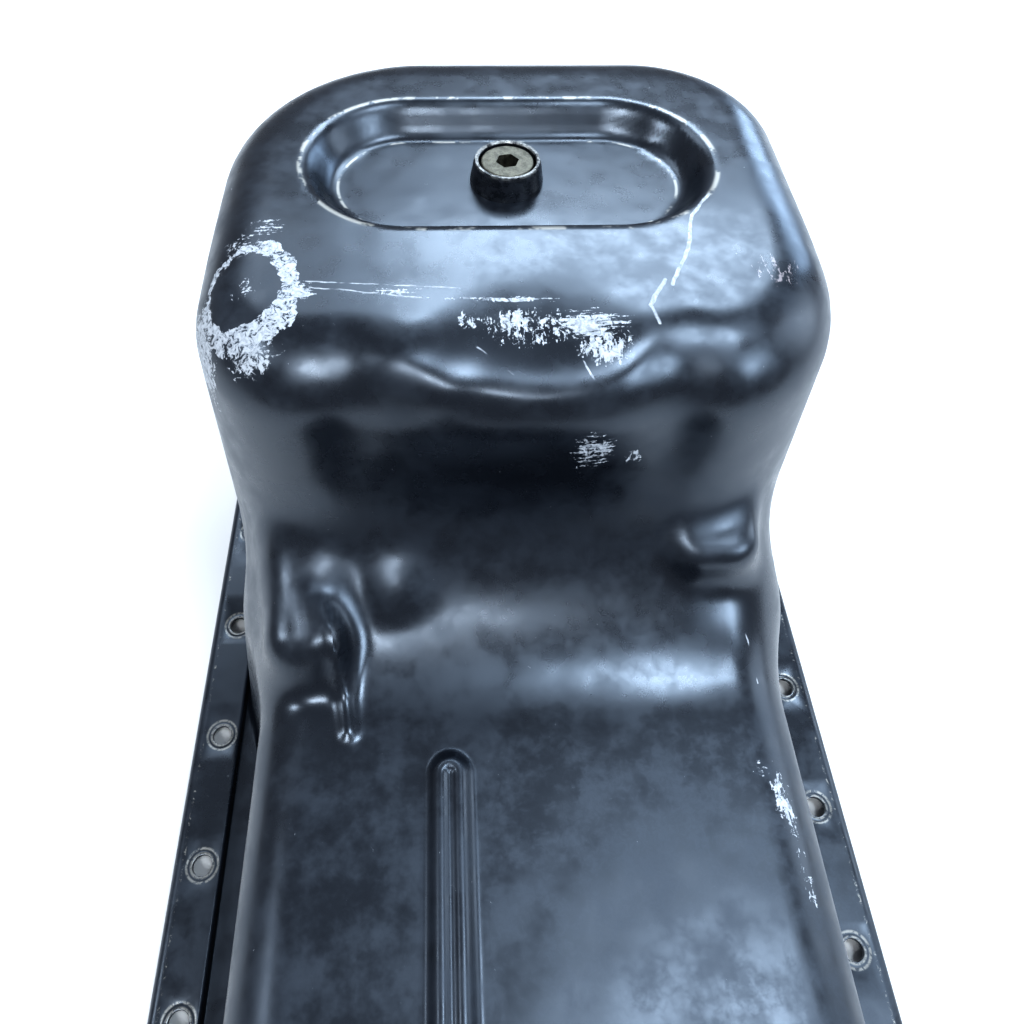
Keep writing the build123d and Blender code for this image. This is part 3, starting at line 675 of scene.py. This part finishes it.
def pan_paint():
    m = Mat("pan_paint")
    x, y, z = m.x, m.y, m.z

    def field(name):
        n = m.nt.nodes.new("ShaderNodeAttribute")
        n.attribute_name = name
        s = m.nt.nodes.new("ShaderNodeSeparateXYZ")
        m.nt.links.new(n.outputs["Vector"], s.inputs[0])
        return [Sock(m.nt, s.outputs[i]) for i in range(3)]

    across, slanted, flaked = field("wear")
    pinked, fainted, film = field("film")
    ragged = m.wobble(8.0, 3.6)
    mid = m.noise(11, 3, 0.6)
    broad = m.noise(55, 1, 0.5)
    flake = m.noise(2.9, 4, 0.74, distort=1.2)
    streak = m.noise(1.5, 3, 0.68, stretch=(9, 1, 1), turn=0.1)
    slant = m.noise(1.5, 3, 0.70, stretch=(1, 5, 2), turn=-0.5)
    cloud = (broad * 0.5 + mid * 0.5).ramp(0.40, 0.62)
    dust = film * (flake * 0.6 + mid * 0.4).ramp(0.44, 0.62)
    # white scuffs
    mixed = flake * 0.5 + slant * 0.5
    white = (flake * 0.45 + streak * 0.55 + across).ramp(0.0, 0.035)
    white = white.max((mixed + slanted).ramp(0.0, 0.035))
    ring = Sock(m.nt, m.vec("LENGTH", m.vec("MULTIPLY", m.vec("SUBTRACT", ragged, (-101.0, 165.0, 226.0)), (1 / 15.0, 1 / 19.0, 1 / 60.0))))
    thick = x.ramp(-106, -92, 0.16, 0.32) + y.ramp(160, 150, 0.0, 0.12)
    band = (thick - (ring - 1.05).abs()).ramp(0.0, 0.12)
    white = white.max((band * 0.34 + flake - 0.17).ramp(0.585, 0.63))
    white = white.max((flake + flaked).ramp(0.0, 0.045) * ring.ramp(0.88, 1.08))
    pink = (mixed + pinked).ramp(0.0, 0.035)
    faint = (slant + fainted).ramp(0.0, 0.08)
    lines = None
    at = m.vec("ADD", m.vec("SCALE", m.p, scale=0.72), m.vec("SCALE", ragged, scale=0.28))
    for pts, w in (([(75.5, 213, 235), (66.5, 200, 234.6), (61.6, 181, 233.5), (52.7, 163.5, 232)], 0.9),
                   ([(50.5, 166, 232.3), (43.2, 154, 231.3), (45.7, 146, 230)], 1.0),
                   ([(88.7, 92, 132), (92, 74, 119), (94, 58, 114)], 0.45),
                   ([(-78, 164.5, 232), (-36, 158.5, 232)], 0.4),
                   ([(-80, 167.5, 232.5), (-24, 163, 232)], 0.35),
                   ([(-19, 138, 228), (-2, 125.5, 222)], 0.6),
                   ([(16, 136, 227), (22, 126, 222)], 0.5)):
        for p, q in zip(pts, pts[1:]):
            d = m.line(p, q, at).ramp(w, w * 0.45)
            lines = d if lines is None else lines.max(d)
    white = white.max(lines * mid.ramp(0.34, 0.46)).min(1.0)
    # bare edges of the recess, bolt seats and rail edges
    cx, cy, hl, r, deep = RECESS
    ex = ((x - cx).abs() - hl).max(0.0)
    ey = y - cy
    cap = (ex * ex + ey * ey).op("SQRT")
    worn = (cap - (r + 6.8)).abs().ramp(1.6, 0.3) * z.ramp(226, 231) * (mid + x.ramp(-40, -60, 0.0, 0.08) * y.ramp(220, 205)).ramp(0.50, 0.58)
    foot_line = (cap - (r - 7.4)).abs().ramp(1.0, 0.2) * z.ramp(228, 225) * z.ramp(215, 219) * mid.ramp(0.47, 0.58)
    rail = z.op("LESS_THAN", 9.0)
    end = y.abs().op("GREATER_THAN", FL_Y - HOLE_IN - 12.0)
    right = x.op("GREATER_THAN", 0.0)
    first = right * (RIGHT_Y0 - LEFT_Y0) + LEFT_Y0
    along = y - first
    along = along + (x - END_X[0] - along) * end
    u = x.abs() - (FL_X - HOLE_IN)
    u = u + (y.abs() - (FL_Y - HOLE_IN) - u) * end
    k = along.op("WRAP", PITCH / 2, -PITCH / 2)
    q = (k * k + u * u).op("SQRT")
    ringed = (q - 7.3).abs().min((q - 5.2).abs()).ramp(0.9, 0.2) * rail * flake.ramp(0.36, 0.56)
    edge_d = ((x.abs() - (FL_X - LIP_R - 0.6)).abs()).min((y.abs() - (FL_Y - LIP_R - 0.6)).abs())
    edge = edge_d.ramp(0.9, 0.1) * rail * flake.ramp(0.55, 0.64)
    bare = worn.max(foot_line).max(ringed * 0.85).max(edge)
    # colour
    base = m.mix(cloud, (0.0055, 0.0070, 0.0105), (0.011, 0.014, 0.020))
    base = m.mix(dust * 0.22, base, (0.050, 0.062, 0.082))
    base = m.mix(faint * 0.5, base, (0.22, 0.23, 0.25))
    base = m.mix(bare * 0.85, base, (0.40, 0.385, 0.35))
    base = m.mix(pink * 0.8, base, (0.38, 0.33, 0.34))
    base = m.mix(white * 0.92, base, m.mix(flake.ramp(0.40, 0.62), (0.34, 0.36, 0.39), (0.60, 0.62, 0.65)))
    m.set("Base Color", base)
    rough = cloud * 0.10 + 0.24 + film * 0.05 + dust * 0.05 + mid * 0.06
    m.set("Roughness", rough.max(white * 0.55).max(bare * 0.42))
    m.set("Metallic", bare * 0.55)
    m.set("Specular IOR Level", 0.9)
    m.set("IOR", 1.6)
    m.set("Specular Tint", (0.79, 0.88, 1.0, 1.0))
    m.bump(m.noise(24, 1, 0.5), 0.001 * 0.42, 1.0)
    return m.m


scuff_fields(pan_ob.data)
pan_ob.data.materials.append(pan_paint())


def plain_paint(name, a, b, rough):
    m = Mat(name)
    c = (m.noise(4, 5, 0.6) * 0.7 + m.noise(1.2, 4, 0.6) * 0.3).ramp(0.42, 0.6)
    m.set("Base Color", m.mix(c, a, b))
    m.set("Roughness", c.ramp(0, 1, rough - 0.06, rough + 0.08))
    m.bump(m.noise(0.8, 4, 0.6), 0.00004)
    return m


def plug_metal():
    m = Mat("plug_steel")
    r = Sock(m.nt, m.vec("LENGTH", m.vec("MULTIPLY", m.vec("SUBTRACT", m.p, (PLUG_XY[0], PLUG_XY[1], 0.0)), (1.0, 1.0, 0.0))))
    c = (m.noise(3, 5, 0.65) * 0.7 + m.noise(0.7, 4, 0.6) * 0.3).ramp(0.40, 0.62)
    base = m.mix(c, (0.09, 0.086, 0.070), (0.21, 0.20, 0.165))
    base = m.mix(m.noise(1.6, 5, 0.7).ramp(0.60, 0.68) * 0.6, base, (0.16, 0.13, 0.07))
    # Darker inside the hex socket: painted shade in the socket.
    base = m.mix(r.ramp(4.6, 3.9) * m.z.ramp(231.2, 229.0), base, (0.035, 0.033, 0.03))
    m.set("Base Color", base)
    m.set("Metallic", 0.75)
    m.set("Roughness", c.ramp(0, 1, 0.34, 0.52))
    m.bump(r.op("SINE") * 0.2 + m.noise(0.6, 4, 0.6), 0.00006)
    return m.m


def dress(node, mat):
    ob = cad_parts[node]
    if not ob.material_slots:
        ob.data.materials.append(mat)
    for s in ob.material_slots:
        s.material = mat


bm_ = plain_paint("boss_paint", (0.008, 0.010, 0.014), (0.018, 0.021, 0.028), 0.28)
# Lighter, more metallic top edge of the boss: a painted highlight along its rim.
painted_rim_highlight = bm_.z.ramp(231.6, 232.6) * bm_.noise(3.5, 4, 0.65).ramp(0.40, 0.54)
under = bm_.b.inputs["Base Color"].links[0].from_socket
bm_.set("Base Color", bm_.mix(painted_rim_highlight * 0.85, under, (0.34, 0.34, 0.33)))
bm_.set("Metallic", painted_rim_highlight * 0.6)
bm_.set("Specular IOR Level", 0.8)
dress("drain_boss", bm_.m)
dress("drain_plug", plug_metal())
w_ = plain_paint("washer_metal", (0.10, 0.09, 0.08), (0.26, 0.24, 0.21), 0.45)
w_.set("Metallic", 0.8)
dress("sealing_washer", w_.m)

# ---- camera ----
f_, cx_, cy_, th, rho, psi = 808.084, 476.06, 440.27, 0.929, -0.0262, 0.0533
eye = np.array([-28.84, -55.0, 432.55]) * MM
s_, c_ = math.sin(psi), math.cos(psi)
fw = np.array([s_ * math.cos(th), c_ * math.cos(th), -math.sin(th)])
rt = np.array([c_, -s_, 0.0])
dn = np.cross(fw, rt)
if dn[2] > 0:
    dn = -dn
r2, d2 = rt * math.cos(rho) + dn * math.sin(rho), -rt * math.sin(rho) + dn * math.cos(rho)
cam = bpy.data.cameras.new("camera")
cam_ob = bpy.data.objects.new("camera", cam)
bpy.context.scene.collection.objects.link(cam_ob)
cam_ob.matrix_world = Matrix([[r2[0], -d2[0], -fw[0], eye[0]], [r2[1], -d2[1], -fw[1], eye[1]],
                              [r2[2], -d2[2], -fw[2], eye[2]], [0, 0, 0, 1]])
cam.sensor_width = 36
cam.lens = f_ / 1024 * 36
cam.shift_x, cam.shift_y = (512 - cx_) / 1024, (cy_ - 512) / 1024
cam.clip_start = 0.01
bpy.context.scene.camera = cam_ob

# ---- floor and light ----
fm = bpy.data.meshes.new("floor")
fm.from_pydata([(-8, -8, -0.0004), (8, -8, -0.0004), (8, 8, -0.0004), (-8, 8, -0.0004)], [], [(0, 1, 2, 3)])
floor = bpy.data.objects.new("floor", fm)
bpy.context.scene.collection.objects.link(floor)
fmat = bpy.data.materials.new("floor")
fmat.use_nodes = True
fmat.node_tree.nodes["Principled BSDF"].inputs["Base Color"].default_value = (0.90, 0.88, 0.86, 1)
fmat.node_tree.nodes["Principled BSDF"].inputs["Roughness"].default_value = 0.8
fm.materials.append(fmat)
world = bpy.data.worlds.new("world")
bpy.context.scene.world = world
world.use_nodes = True
world.node_tree.nodes["Background"].inputs[0].default_value = (0.62, 0.66, 0.74, 1)
world.node_tree.nodes["Background"].inputs[1].default_value = 0.38


def area(name, at, to, size, power, colour=(1, 1, 1)):
    li = bpy.data.lights.new(name, "AREA")
    li.shape = "RECTANGLE"
    li.size, li.size_y = size
    li.energy = power
    li.color = colour
    ob = bpy.data.objects.new(name, li)
    bpy.context.scene.collection.objects.link(ob)
    ob.location = at
    ob.rotation_euler = (Vector(to) - Vector(at)).to_track_quat("-Z", "Y").to_euler()


area("window", (0.40, 1.68, 1.87), (0.0, 0.18, 0.22), (1.26, 0.66), 25, (0.74, 0.87, 1.0))
area("door", (1.42, 1.62, 0.74), (0.1, 0.2, 0.22), (0.9, 0.7), 10, (0.58, 0.77, 1.0))
area("top", (0.55, -0.16, 1.86), (0.10, 0.06, 0.12), (0.50, 0.42), 11, (0.76, 0.88, 1.0))
area("behind", (-0.46, -1.02, 1.75), (-0.06, 0.1, 0.15), (0.40, 0.40), 8, (0.86, 0.93, 1.0))
area("behind_low", (-0.08, -1.35, 1.7), (0.0, 0.1, 0.2), (0.45, 0.30), 5, (0.86, 0.93, 1.0))
area("right", (1.32, -0.89, 1.35), (0.08, 0.11, 0.15), (0.60, 0.60), 11, (0.74, 0.87, 1.0))
area("left", (-1.55, -0.2, 1.46), (-0.09, 0.1, 0.14), (0.40, 0.40), 6, (0.84, 0.92, 1.0))
area("side", (1.6, 0.35, 0.75), (0.0, 0.2, 0.15), (0.6, 1.0), 5, (0.80, 0.90, 1.0))
area("wall", (-1.0, 1.55, 1.95), (-0.05, 0.2, 0.2), (1.1, 0.8), 7, (0.80, 0.90, 1.0))
bpy.context.scene.view_settings.view_transform = "Standard"
bpy.context.scene.view_settings.look = "High Contrast"
